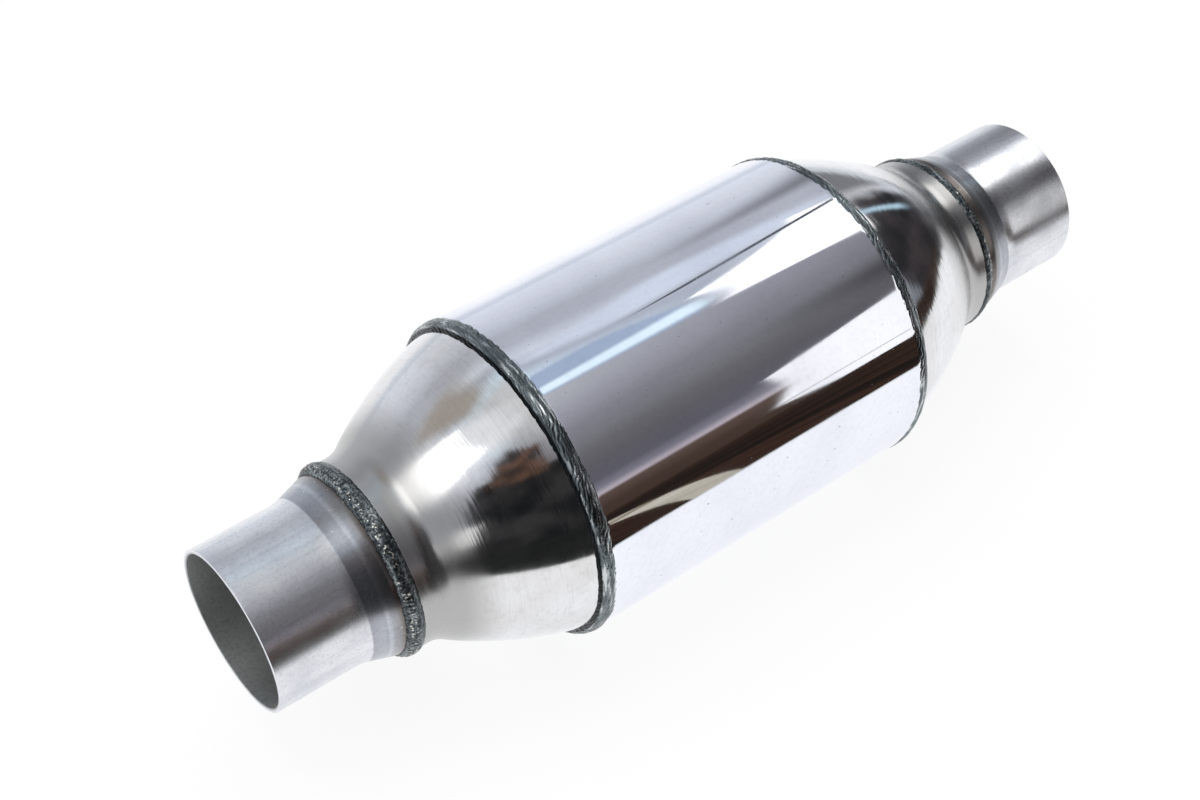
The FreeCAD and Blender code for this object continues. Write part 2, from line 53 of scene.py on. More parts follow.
# The converter lies along X, from the inlet's mouth at the origin to the outlet's mouth, with +Z up.
# Lengths below are in metres, and MM turns millimetres into them.
MM = 0.001
LENGTH = cad_high.x
FULL_TURN = 2 * math.pi

PIPE_RADIUS, PIPE_WALL = 27.5 * MM, 1.5 * MM
NECK_START, NECK_RADIUS, CONE_WALL = 45 * MM, 32.35 * MM, 1.5 * MM
SOCKET_RADIUS = NECK_RADIUS - CONE_WALL
SHELL_START, SHELL_RADIUS, SHELL_WALL = 101 * MM, 55.5 * MM, 2 * MM
SHELL_BORE = SHELL_RADIUS - SHELL_WALL
# The shell's joint, as the angle about X from +Y towards +Z, and its width.
SEAM_ANGLE, SEAM_WIDTH = math.radians(310), 1.6 * MM
MANTLE_BORE = 50 * MM
MATRIX_START, MATRIX_END = 120 * MM, 210 * MM

# ------------------------------------------------------------------ camera
# It stands above and in front of the inlet, and the vector gives the way it looks.
camera = bpy.data.objects.new("camera", bpy.data.cameras.new("camera"))
bpy.context.scene.collection.objects.link(camera)
bpy.context.scene.camera = camera
camera.data.lens = 58.6
camera.data.sensor_width = 36
camera.data.clip_start, camera.data.clip_end = 0.01, 50
camera.location = (-0.1297, -0.3470, 0.4631)
camera.rotation_mode = "QUATERNION"
camera.rotation_quaternion = Vector((0.4256, 0.5516, -0.7173)).to_track_quat("-Z", "Y")


# ------------------------------------------------------------------ surfaces
def corners_of(table, wrap):
    """The four corners of each cell of a table, in order round the cell, one row per cell."""
    if wrap[0]:
        table = np.concatenate([table, table[:1]])
    if wrap[1]:
        table = np.concatenate([table, table[:, :1]], 1)
    cells = (table[:-1, :-1], table[1:, :-1], table[1:, 1:], table[:-1, 1:])
    return np.stack(cells, 2).reshape(-1, 4, *table.shape[2:])


def surface(name, grid, replaced=(), wrap=(True, True), crease=35, lay=None):
    """A smooth mesh over a grid of points, shape (rows, columns, 3): each cell is one face.
    wrap says whether the rows and the columns close on themselves. Edges that turn by more than
    crease degrees stay sharp. lay is the place along and across the piece, as its UV map. The
    piece rides on the converter and stands for the nodes named."""
    rows, columns = grid.shape[:2]
    faces = corners_of(np.arange(rows * columns).reshape(rows, columns), wrap)
    if lay is not None:
        lay = corners_of(lay, wrap)
    return finish_piece(name, grid.reshape(-1, 3), faces, replaced, crease, lay)


def new_item(name, points, faces, lay=None):
    """An object whose mesh has those points and faces. lay is the UV map, corner by corner."""
    mesh = bpy.data.meshes.new(name)
    mesh.from_pydata(points.tolist(), [], faces.tolist())
    if lay is not None:
        mesh.uv_layers.new(name="lay").data.foreach_set("uv", lay.astype(np.float32).ravel())
    item = bpy.data.objects.new(name, mesh)
    bpy.context.scene.collection.objects.link(item)
    return item


def finish_piece(name, points, faces, replaced=(), crease=35, lay=None):
    piece = new_item(name, points, faces, lay)
    piece.data.polygons.foreach_set("use_smooth", np.ones(len(faces), bool))
    piece.data.set_sharp_from_angle(angle=math.radians(crease))
    piece.data.update()
    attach(piece, "root")
    if replaced:
        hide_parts(*replaced)
    return piece


def walk(start, runs, fine=math.radians(1.5)):
    """A line in the plane of (x, radius) that starts along X, and the direction off its left side.
    Each run is ("straight", length), ("bend", radius, angle) or ("corner", angle): a bend turns
    left where its angle is positive, about a centre square to the line, in steps of fine."""
    place, heading = np.array(start, float), 0.0
    points, sides = [place[None]], [np.array([[0.0, 1.0]])]
    for kind, *values in runs:
        if kind == "corner":
            heading += values[0]
            points.append(place[None])
            sides.append(np.array([[-math.sin(heading), math.cos(heading)]]))
            continue
        if kind == "straight":
            steps = np.linspace(0, 1, 3)[1:, None] * values[0]
            line = place + steps * np.array([math.cos(heading), math.sin(heading)])
            side = np.repeat([[-math.sin(heading), math.cos(heading)]], len(line), 0)
        else:
            radius, angle = values
            turn = np.linspace(0, angle, max(int(abs(angle) / fine), 2) + 1)[1:] + heading
            left = np.stack([-np.sin(turn), np.cos(turn)], -1)
            reach = math.copysign(radius, angle)
            line = place + reach * np.array([-math.sin(heading), math.cos(heading)]) - reach * left
            side, heading = left, heading + angle
        points.append(line)
        sides.append(side)
        place = line[-1]
    return np.vstack(points), np.vstack(sides)


def edge(outer, inner, depth, way):
    """The rounded end of a sheet, from its outer corner to its inner one: half of a squared oval
    whose powers are four, as deep as depth, that bulges along X by way (1 or -1)."""
    swing = np.linspace(math.pi / 2, -math.pi / 2, 15)[1:-1]
    middle, half = (outer + inner) / 2, (outer - inner) / 2
    across = np.sign(np.sin(swing)) * np.sqrt(np.abs(np.sin(swing)))
    bulge = np.sqrt(np.cos(swing)) * depth * way
    return middle + across[:, None] * half + np.stack([bulge, 0 * bulge], -1)


def walled(outer, sides, wall, depth):
    """The closed outline of a sheet of that wall whose outer face is the line given."""
    inner = outer - sides * wall
    far = edge(outer[-1], inner[-1], depth, 1)
    near = edge(outer[0], inner[0], depth, -1)
    return np.vstack([outer, far, inner[::-1], near[::-1]])


def turned(outline, segments=320, start=0.0, sweep=FULL_TURN):
    """The outline (x, radius) swept about X: rows follow the outline, columns the turn. The angle
    runs from +Y towards +Z."""
    whole = abs(sweep - FULL_TURN) < 1e-9
    angle = start + np.linspace(0, sweep, segments, endpoint=not whole)[None]
    x, radius = outline[:, 0, None], outline[:, 1, None]
    return np.stack([x + 0 * angle, radius * np.cos(angle), radius * np.sin(angle)], -1)


def other_end(grid):
    """The same piece at the outlet: half a turn about Z, then moved along by the whole length."""
    return grid * np.array([-1, -1, 1]) + np.array([LENGTH, 0, 0])


def soft_noise(along, around, cells, seed):
    """Smooth random values from 0 to 1: a random table of cells[0] by cells[1] values, eased
    between neighbours. along and around run from 0 to 1, and around closes on itself."""
    table = np.random.default_rng(seed).random((cells[0] + 2, cells[1]))
    u, v = np.clip(along, 0, 1) * cells[0], np.mod(around, 1) * cells[1]
    i, j = np.minimum(u.astype(int), cells[0]), v.astype(int) % cells[1]
    a, b = u - i, v - np.floor(v)
    a, b = a * a * (3 - 2 * a), b * b * (3 - 2 * b)
    k = (j + 1) % cells[1]
    near = table[i, j] * (1 - b) + table[i, k] * b
    far = table[i + 1, j] * (1 - b) + table[i + 1, k] * b
    return near * (1 - a) + far * a


# ------------------------------------------------------------------ pipes, cones and shell
def pipe_line():
    """The stub's outer line: a straight tube, a short bend that ends in a crease, a straight flare
    at 17.5 degrees, and a small bend into the socket."""
    flare = math.radians(17.5)
    lead, ease, turn_in = 20 * MM, math.radians(13.5), 4 * MM
    lip = 0.5 * MM
    foot = PIPE_RADIUS + lead * (1 - math.cos(ease))
    rise = SOCKET_RADIUS - turn_in * (1 - math.cos(flare)) - foot
    straight, overlap = 27 * MM, 10 * MM
    runs = [("straight", straight - lip), ("bend", lead, ease), ("corner", flare - ease)]
    runs += [("straight", rise / math.sin(flare)), ("bend", turn_in, -flare)]
    points, sides = walk((lip, PIPE_RADIUS), runs)
    points = np.vstack([points, [NECK_START + overlap - lip, SOCKET_RADIUS]])
    return walled(points, np.vstack([sides, [0, 1]]), PIPE_WALL, lip)


def cone_line():
    """The cone's outer line: neck, hollow bend, long crown, shoulder, and rim inside the shell."""
    slope = math.radians(34.9)
    bend, crown, shoulder = 12.5 * MM, 125.7 * MM, 11.7 * MM
    neck, overlap = 5.5 * MM, 8 * MM
    top = NECK_RADIUS + bend * (1 - math.cos(slope)) - crown * math.cos(slope)
    ease = math.acos((SHELL_BORE - shoulder - top) / (crown - shoulder))
    lip = 0.4 * MM
    runs = [("straight", neck - lip), ("bend", bend, slope), ("bend", crown, ease - slope)]
    runs += [("bend", shoulder, -ease)]
    points, sides = walk((NECK_START + lip, NECK_RADIUS), runs, math.radians(0.8))
    points = np.vstack([points, [SHELL_START + overlap - lip, SHELL_BORE]])
    return walled(points, np.vstack([sides, [0, 1]]), CONE_WALL, lip)


def rolled_shell():
    """The rolled sheet, open along its seam. The rolls leave it very slightly out of round: its
    radius falls by up to 0.03 mm in soft patches about 30 mm wide."""
    lip = 0.3 * MM
    x = np.linspace(SHELL_START + lip, LENGTH - SHELL_START - lip, 90)
    outer = np.stack([x, np.full_like(x, SHELL_RADIUS)], -1)
    outline = walled(outer, np.tile([0.0, 1.0], (len(x), 1)), SHELL_WALL, lip)
    gap = SEAM_WIDTH / SHELL_RADIUS
    columns = 361
    grid = turned(outline, columns, SEAM_ANGLE + gap / 2, FULL_TURN - gap)
    around = np.linspace(0, 1, columns)[None] + 0 * outline[:, :1]
    along = (outline[:, :1] - SHELL_START) / (LENGTH - 2 * SHELL_START) + 0 * around
    outside = (outline[:, 1] > SHELL_RADIUS - 0.1 * MM)[:, None]
    sink = 0.03 * MM * soft_noise(along, around, (4, 11), 3) * outside
    grid[..., 1:] *= (1 - sink / SHELL_RADIUS)[..., None]
    return surface("rolled_shell", grid, ["shell"], wrap=(True, False))


def seam_weld():
    """The shell's butt weld: a crown over the seam's width that falls off with the square of the
    distance from its middle, with a ripple every 1.1 mm that curves back at its edges."""
    x = np.linspace(SHELL_START, LENGTH - SHELL_START, 900)[:, None]
    across = np.linspace(-1, 1, 13)[None]
    ripple = 1.1 * MM
    wave = np.abs(np.sin(math.pi * (x / ripple + 0.45 * across**2)))
    height = 0.24 * MM * (1 - across**2) * (0.72 + 0.28 * wave**0.7)
    root = np.full((len(x), 1), SHELL_BORE)
    radius = np.concatenate([SHELL_RADIUS - 0.02 * MM + height, root], 1)
    angle = SEAM_ANGLE + np.concatenate([across * SEAM_WIDTH / 2, [[0.0]]], 1) / SHELL_RADIUS
    grid = np.stack([x + 0 * radius, radius * np.cos(angle), radius * np.sin(angle)], -1)
    grid = grid[:, ::-1]
    return surface("seam_weld", grid, ["shell_seam_weld"], wrap=(False, True), crease=80)


# ------------------------------------------------------------------ ring beads
def crown_line(toe, shoulder, radius, steps):
    """The arc of that radius from toe to shoulder, bulging outward, and its outward directions."""
    toe, shoulder = np.array(toe), np.array(shoulder)
    across = shoulder - toe
    half = np.hypot(*across) / 2
    square = np.array([-across[1], across[0]]) / (2 * half)
    centre = (toe + shoulder) / 2 - square * math.sqrt(radius**2 - half**2)
    first, last = (math.atan2(*(p - centre)[::-1]) for p in (toe, shoulder))
    angle = np.linspace(first, last, steps)
    out = np.stack([np.cos(angle), np.sin(angle)], -1)
    return centre + radius * out, out


def ring_bead(name, node, toe, shoulder, root, radius, sink, segments, steps):
    """A weld bead laid round a joint: the crown's arc swept about X. sink(across, around) gives
    how far its face lies below the plain arc, in metres: across runs from toe to shoulder and
    around once round, both 0 to 1."""
    line, out = crown_line(toe, shoulder, radius, steps)
    around = np.arange(segments)[None] / segments
    across = np.linspace(0, 1, steps)[:, None]
    place = np.stack([around + 0 * across, across + 0 * around], -1)
    face = line[:, None] - out[:, None] * sink(place[..., 1], place[..., 0])[..., None]
    under = np.tile(np.array([root])[:, None], (1, segments, 1))
    section = np.concatenate([face, under])
    place = np.concatenate([place, place[-1:] * [1, 0]])
    angle = FULL_TURN * around
    x, r = section[..., 0], section[..., 1]
    grid = np.stack([x, r * np.cos(angle), r * np.sin(angle)], -1)
    grid = other_end(grid) if name.startswith("outlet") else grid
    return surface(name, grid, [node], crease=75, lay=place)


def strands(across, around, count, lean, seed):
    """Long flat ripples that lean along the bead, laid over each other like the strands of a rope:
    rounded lobes with narrow valleys, the size of a sine to the power 0.6. Its phase grows by
    count once round and by lean from toe to shoulder, with soft random shifts, and soft random
    heights make the lobes uneven. 0 is the top of a strand and 1 the bottom of a valley."""
    drift = soft_noise(2 * across / 3, around, (3, 61), seed)
    drift += 0.5 * soft_noise(across, around, (5, 170), seed + 1)
    phase = count * around + lean * across + 1.5 * drift
    lobe = np.abs(np.sin(math.pi * phase)) ** 0.6
    return 1 - lobe * (0.45 + 0.55 * soft_noise(across, around, (4, 130), seed + 2))


def rope_face(seed):
    """The shell's beads: the sum of leaning strands up to 0.30 mm deep, a slight unevenness of the
    whole crown and a fine grain."""

    def sink(across, around):
        swell = soft_noise(across, around, (1, 46), seed + 7)
        grain = soft_noise(across, around, (12, 620), seed + 8)
        return (0.30 * strands(across, around, 83, 6.2, seed) + 0.22 * swell + 0.03 * grain) * MM

    return sink


def spattered_face(seed):
    """The pipes' beads: lumps and grains of spatter from 1 to 2 mm wide on the pipe's half, and
    smoother leaning strands on the cone's half, with an even passage from one to the other."""

    def sink(across, around):
        lumps = soft_noise(across, around, (3, 110), seed)
        grains = soft_noise(across, around, (9, 300), seed + 1)
        cone_half = np.clip((across - 0.42) / 0.2, 0, 1)
        rough = 0.26 * lumps + 0.30 * grains
        smooth = 0.20 * strands(across, around, 60, 5.0, seed + 2) + 0.12 * lumps
        return (rough + (smooth - rough) * cone_half) * MM

    return sink


# ------------------------------------------------------------------ wound matrix
def spiral(length_along, pitch, first):
    """Where a strip wound at that pitch is after so much of its length: radius and angle. The
    radius is the root of first squared plus length times pitch over pi."""
    radius = np.sqrt(first**2 + length_along * pitch / math.pi)
    return radius, FULL_TURN * (radius - first) / pitch


def wound_strip(name, node, pitch, thickness, waves=None):
    """A foil wound from the centre out to the mantle, as an outline across the flow that is run
    through the matrix's length. The smooth foil is a plain spiral. The corrugated one lies half a
    pitch further out, and sine waves of that length, cut flat at the crests, are added to it."""
    first, last = 1.5 * MM, MANTLE_BORE - pitch / 2 - thickness
    whole = math.pi * (last**2 - first**2) / pitch
    along = np.arange(0, whole, waves / 8 if waves else 1.8 * MM)
    radius, angle = spiral(along, pitch, first)
    if waves:
        height = pitch / 2 - thickness * 1.5
        radius += height * np.clip(1.25 * np.sin(FULL_TURN * along / waves), -1, 1)
        radius += pitch / 2
    faces_out, faces_in = radius + thickness / 2, radius - thickness / 2
    r, a = np.concatenate([faces_out, faces_in[::-1]]), np.concatenate([angle, angle[::-1]])
    y, z = r * np.cos(a), r * np.sin(a)
    ends = [np.stack([np.full_like(y, x), y, z], -1) for x in (MATRIX_START, MATRIX_END)]
    count = len(y)
    index = np.arange(count)
    following = np.roll(index, -1)
    sides = np.stack([index, following, following + count, index + count], -1)
    half = np.arange(count // 2 - 1)
    mate = count - 1 - half
    near = np.stack([half, mate, mate - 1, half + 1], -1)
    far = near[:, ::-1] + count
    faces = np.concatenate([sides, near, far])
    return finish_piece(name, np.concatenate(ends), faces, [node], crease=60)


# ------------------------------------------------------------------ material helpers
EASED = {"interpolation_type": "SMOOTHSTEP"}
IN_COLOUR = {"data_type": "RGBA"}


def shade(code):
    """An sRGB hex value as linear red, green, blue and a full alpha."""
    values = np.array([int(code[i : i + 2], 16) for i in (1, 3, 5)]) / 255
    linear = np.where(values <= 0.04045, values / 12.92, ((values + 0.055) / 1.055) ** 2.4)
    return (*linear.tolist(), 1.0)


def add(tree, kind, inputs=(), stops=(), **settings):
    """A shader node with its settings, its inputs in order or by name, and a ramp's stops. An
    input is a value, a hex colour, an output, or a node, which means the first output in use."""
    made = tree.nodes.new("ShaderNode" + kind)
    for key, value in settings.items():
        setattr(made, key, value)
    for key, value in inputs.items() if isinstance(inputs, dict) else enumerate(inputs):
        if isinstance(value, bpy.types.Node):
            value = next(output for output in value.outputs if output.enabled)
        if isinstance(value, bpy.types.NodeSocket):
            tree.links.new(value, made.inputs[key])
        else:
            made.inputs[key].default_value = shade(value) if isinstance(value, str) else value
    if stops:
        elements = made.color_ramp.elements
        while len(elements) < len(stops):
            elements.new(0.5)
        for element, (place, colour) in zip(elements, stops):
            element.position, element.color = place, shade(colour)
    return made


def emptied(holder):
    """The node tree of a material or a world, with nothing in it."""
    holder.use_nodes = True
    holder.node_tree.nodes.clear()
    return holder.node_tree


def new_material(name):
    """An empty material, with its tree and the point that it is drawn at."""
    made = bpy.data.materials.new(name)
    tree = emptied(made)
    return made, tree, add(tree, "TexCoord").outputs["Object"]


def patches(tree, place, size, stretch=(1, 1, 1), detail=2.0, offset=(0, 0, 0)):
    """Soft random patches of about that size in metres, from 0 to 1, longer along an axis whose
    stretch is greater. Unscaled, the noise has patches about half a unit wide."""
    scale = tuple(0.5 / (size * s) for s in stretch)
    mapping = add(tree, "Mapping", {"Vector": place, "Scale": scale, "Location": offset})
    return add(tree, "TexNoise", {"Vector": mapping, "Scale": 1.0, "Detail": detail})


def layered(tree, colour, *layers):
    """Colours laid over a first one, in order. Each layer is its colour, the pattern that places
    it, the pattern's values where it starts and where it is full, and how much of it shows."""
    for over, pattern, start, full, most in layers:
        share = add(tree, "MapRange", (pattern, start, full, 0.0, most), **EASED)
        colour = add(tree, "Mix", {0: share, 6: colour, 7: over}, **IN_COLOUR)
    return colour


def relief(tree, *layers):
    """A surface relief built up in layers: each is its pattern, and how many metres the pattern's
    1 stands above its 0."""
    normal = {}
    for pattern, distance in layers:
        inputs = {"Height": pattern, "Distance": distance, "Strength": 1.0, **normal}
        normal = {"Normal": add(tree, "Bump", inputs)}
    return normal["Normal"]


def skin(tree, colour, roughness, normal, metallic=1.0):
    """The surface itself, bare metal unless said otherwise, on the material's output."""
    inputs = {"Base Color": colour, "Metallic": metallic, "Roughness": roughness, "Normal": normal}
    add(tree, "OutputMaterial", (add(tree, "BsdfPrincipled", inputs),))


def off_axis(tree, place):
    """The distance from the flow axis, the root of y squared plus z squared, and the place x."""
    x, y, z = add(tree, "SeparateXYZ", (place,)).outputs
    square = add(tree, "Math", (y, y), operation="MULTIPLY")
    total = add(tree, "Math", (z, z, square), operation="MULTIPLY_ADD")
    return add(tree, "Math", (total,), operation="SQRT"), x


def from_mouth(tree, along):
    """The distance along the axis from the nearer mouth."""
    past = add(tree, "Math", (along, LENGTH / 2), operation="SUBTRACT")
    past = add(tree, "Math", (past,), operation="ABSOLUTE")
    return add(tree, "Math", (LENGTH / 2, past), operation="SUBTRACT")


# ------------------------------------------------------------------ finishes
def polished_stainless():
    """Cold-rolled stainless sheet, ground and buffed to a mirror: a nearly neutral, slightly cool
    mirror with hairlines round it from the mop, cloudy rub marks and a few fine pits. The real
    hairlines are a tenth as wide, which wouldn't show."""
    made, tree, place = new_material("polished_stainless")
    hairlines = patches(tree, place, 0.35 * MM, (1, 40, 40), 3.0)
    rub = patches(tree, place, 14 * MM, (1, 2, 2), 3.0)
    haze = patches(tree, place, 0.9 * MM, (1, 1, 1), 3.0, (3, 3, 8))
    pits = patches(tree, place, 0.5 * MM, (1, 1, 1), 0.0)
    colour = layered(
        tree,
        "#f0f1f8",
        ("#e8e9f1", rub, 0.35, 0.70, 1.0),
        ("#b9bcc4", haze, 0.40, 0.75, 0.10),
        ("#7e8087", pits, 0.83, 0.88, 0.6),
    )
    rough = add(tree, "MapRange", (rub, 0.30, 0.75, 0.03, 0.075), **EASED)
    pitted = add(tree, "MapRange", (pits, 0.83, 0.88, 0.0, 0.2), **EASED)
    rough = add(tree, "Math", (rough, pitted), operation="ADD")
    skin(tree, colour, rough, relief(tree, (hairlines, 0.0005 * MM)))
    return made


def spun_stainless():
    """Stainless cone spun over a former and buffed as it turned: fine short grooves run round it,
    so that reflections end in ragged hoops. The neck, which the buff doesn't reach, is duller and
    greyer. The grooves are drawn some three times as wide as real ones, so that they show."""
    made, tree, place = new_material("spun_stainless")
    _, along = off_axis(tree, place)
    grooves = patches(tree, place, 0.33 * MM, (1, 16, 16), 2.0)
    rings = patches(tree, place, 1.6 * MM, (1, 14, 14), 2.0, (3, 1, 7))
    tone = patches(tree, place, 12 * MM, (1, 1, 1), 3.0, (1, 5, 2))
    haze = patches(tree, place, 1.1 * MM, (1, 1, 1), 3.0, (9, 5, 2))
    # The buff fades out over this stretch from the mouth, along an uneven line.
    buffed, unbuffed = 74 * MM, 60 * MM
    inward = add(tree, "Math", (tone, 3 * MM, from_mouth(tree, along)), operation="MULTIPLY_ADD")
    colour = layered(
        tree,
        "#e9e9ea",
        ("#dedddc", tone, 0.35, 0.65, 1.0),
        ("#a9a8a6", grooves, 0.45, 0.75, 0.14),
        ("#9f9d9a", haze, 0.45, 0.75, 0.14),
        ("#adacaa", inward, buffed, unbuffed, 0.9),
    )
    rough = add(tree, "MapRange", (rings, 0.3, 0.7, 0.08, 0.12), **EASED)
    dull = add(tree, "MapRange", (inward, buffed, unbuffed, 0.0, 0.16), **EASED)
    rough = add(tree, "Math", (rough, dull), operation="ADD")
    skin(tree, colour, rough, relief(tree, (grooves, 0.014 * MM), (rings, 0.040 * MM)))
    return made


def drawn_tube():
    """Welded and drawn stainless tube with its mill finish: satin, with faint streaks along it and
    small pits. Past the flare's crease the rollers have left it greyer, with one brighter line
    in that band that is a painted highlight, and beside the bead the heat has browned it. The bore
    is dull."""
    made, tree, place = new_material("drawn_tube")
    radius, along = off_axis(tree, place)
    streaks = patches(tree, place, 0.8 * MM, (30, 1, 1), 2.0)
    clouds = patches(tree, place, 7 * MM, (1, 1, 1), 4.0, (2, 2, 9))
    grain = patches(tree, place, 0.5 * MM, (1, 1, 1), 2.0, (8, 2, 9))
    pits = patches(tree, place, 0.65 * MM, (1, 1, 1), 1.0, (5, 3, 1))
    colour = layered(
        tree,
        "#e6e7ea",
        ("#d6d8dc", clouds, 0.35, 0.70, 1.0),
        ("#a8adb5", streaks, 0.50, 0.70, 0.18),
        ("#9b9ea4", grain, 0.45, 0.75, 0.22),
    )
    # Each tone with its distance from the mouth in millimetres, as a share of the ramp's reach.
    reach = 50
    tones = [(31.5, "#ffffff"), (31.9, "#c0c1c5"), (35.0, "#c9cbcf"), (36.2, "#c6c8cc")]
    # The brighter tones at 36.9 and 37.5 mm are a painted highlight: a line of light along the flare.
    tones += [(36.9, "#dcdee1"), (37.5, "#d6d8db"), (38.25, "#bebfc1"), (40.0, "#adabaa")]
    tones += [(41.25, "#8b837c")]
    share = add(tree, "Math", (from_mouth(tree, along), 1 / (reach * MM)), operation="MULTIPLY")
    flare = add(tree, "ValToRGB", (share,), [(far / reach, tone) for far, tone in tones])
    colour = add(tree, "Mix", {0: 1.0, 6: colour, 7: flare}, blend_type="MULTIPLY", **IN_COLOUR)
    # The bore is given a darker, greener grey than the outside face, in clouds and grains.
    bore_grey = add(tree, "Mix", {0: clouds, 6: "#c6c9c7", 7: "#a6a9a7"}, **IN_COLOUR)
    bore_grey = layered(tree, bore_grey, ("#7f837c", grain, 0.4, 0.7, 0.3))
    face, bore = PIPE_RADIUS - 0.5 * MM, PIPE_RADIUS - PIPE_WALL + 0.1 * MM
    colour = layered(tree, colour, ("#ffffff", pits, 0.72, 0.79, 0.35), (bore_grey, radius, face, bore, 1.0))
    rough = add(tree, "MapRange", (clouds, 0.3, 0.75, 0.24, 0.32), **EASED)
    dull = add(tree, "MapRange", (radius, face, bore, 0.0, 0.30), **EASED)
    rough = add(tree, "Math", (rough, dull), operation="ADD")
    skin(tree, colour, rough, relief(tree, (streaks, 0.004 * MM), (grain, 0.006 * MM)))
    return made


def brushed_weld(name, shaded_toes=(), spatter=False):
    """Weld metal after a wire brush: grey-green oxide in streaks along the bead, bare bright steel
    on the high places, and near-black painted shade in the crevices at its toes, each given as
    the places across the bead where it starts and where it is full. Spatter, on the half of the
    bead that lies on the pipe, leaves bright beads of metal and a coarser, duller face."""
    made, tree, place = new_material(name)
    grain = patches(tree, place, 0.40 * MM, (1, 1, 1), 3.0)
    streaks = patches(tree, place, 0.42 * MM, (1, 10, 10), 2.0, (2, 6, 4))
    clouds = patches(tree, place, 5 * MM, (1, 1, 1), 3.0, (4, 4, 4))
    bare, smoothest, roughest, coarse = (0.3, 0.30, 0.42, 0.08) if spatter else (0.7, 0.18, 0.30, 0.03)
    colour = layered(
        tree,
        "#828a8c",
        ("#646b6e", clouds, 0.35, 0.65, 1.0),
        ("#2b3032", streaks, 0.52, 0.40, 0.5),
        ("#e3e6e6", streaks, 0.55, 0.68, bare),
    )
    if shaded_toes or spatter:
        across = add(tree, "SeparateXYZ", (add(tree, "TexCoord").outputs["UV"],)).outputs[1]
        waver = add(tree, "Math", (grain, 0.08, across), operation="MULTIPLY_ADD")
        # The near-black band at each toe is painted shade in the crevice beside the bead.
        colour = layered(tree, colour, *[("#15181a", waver, start, full, 1.0) for start, full in shaded_toes])
    if spatter:
        spots = patches(tree, place, 0.38 * MM, (1, 1, 1), 1.0, (7, 7, 7))
        off_row = add(tree, "Math", (across, 0.40), operation="SUBTRACT")
        off_row = add(tree, "Math", (off_row,), operation="ABSOLUTE")
        in_row = add(tree, "MapRange", (off_row, 0.22, 0.10), **EASED)
        beads = add(tree, "MapRange", (spots, 0.60, 0.70), **EASED)
        beads = add(tree, "Math", (beads, in_row), operation="MULTIPLY")
        colour = layered(tree, colour, ("#2c3032", grain, 0.58, 0.40, 0.85))
        colour = add(tree, "Mix", {0: beads, 6: colour, 7: "#ece7dc"}, **IN_COLOUR)
    rough = add(tree, "MapRange", (grain, 0.3, 0.7, smoothest, roughest), **EASED)
    skin(tree, colour, rough, relief(tree, (grain, coarse * MM), (streaks, 0.05 * MM)))
    return made


def rolled_inner_steel():
    """Thin stainless strip, rolled and pressed and never polished: matt grey, with faint rolling
    lines and a brown haze from the heat."""
    made, tree, place = new_material("rolled_inner_steel")
    lines = patches(tree, place, 0.5 * MM, (40, 1, 1), 2.0)
    haze = patches(tree, place, 10 * MM, (1, 1, 1), 3.0, (6, 1, 3))
    browned = ("#94897c", haze, 0.35, 0.7, 1.0)
    colour = layered(tree, "#a9a9a6", browned, ("#7f7e7b", lines, 0.45, 0.7, 0.3))
    rough = add(tree, "MapRange", (haze, 0.3, 0.7, 0.34, 0.48), **EASED)
    skin(tree, colour, rough, relief(tree, (lines, 0.01 * MM)))
    return made


def washcoated_foil():
    """Foil dipped in a ceramic washcoat and fired: a matt, chalky grey-beige skin, finely grained,
    with drifts of a darker tone where the coat is thin."""
    made, tree, place = new_material("washcoated_foil")
    chalk = patches(tree, place, 0.25 * MM, (1, 1, 1), 3.0)
    drift = patches(tree, place, 9 * MM, (2, 1, 1), 3.0, (2, 8, 2))
    thin = ("#8c8578", drift, 0.35, 0.65, 1.0)
    colour = layered(tree, "#a59d8c", thin, ("#b9b3a4", chalk, 0.4, 0.7, 0.5))
    skin(tree, colour, 0.85, relief(tree, (chalk, 0.03 * MM)), metallic=0.0)
    return made


def knitted_wire():
    """Wire of 0.25 mm knitted to a sleeve and pressed to a ring: loops in rows 1.2 mm apart, bright
    on the wire, with painted shade between the loops. Its face is the sine of the place along the
    axis plus a sine of the angle, so that each row bows to and fro."""
    made, tree, place = new_material("knitted_wire")
    row, loops_round, bow = 1.2 * MM, 260.0, 1.6
    x, y, z = add(tree, "SeparateXYZ", (place,)).outputs
    angle = add(tree, "Math", (z, y), operation="ARCTAN2")
    courses = add(tree, "Math", (x, FULL_TURN / row), operation="MULTIPLY")
    wales = add(tree, "Math", (angle, loops_round), operation="MULTIPLY")
    wales = add(tree, "Math", (wales,), operation="SINE")
    weave = add(tree, "Math", (wales, bow, courses), operation="MULTIPLY_ADD")
    weave = add(tree, "Math", (weave,), operation="SINE")
    wire = add(tree, "MapRange", (weave, -0.2, 0.9), **EASED)
    dirt = patches(tree, place, 3 * MM, (1, 1, 1), 2.0)
    bright = ("#a5a29c", weave, -0.2, 0.9, 1.0)
    # The dark first colour is painted shade in the gaps between the loops; dirt is laid over the wire.
    colour = layered(tree, "#2f2c29", bright, ("#6d5f50", dirt, 0.5, 0.8, 0.5))
    skin(tree, colour, 0.42, relief(tree, (wire, 0.2 * MM)))
    return made


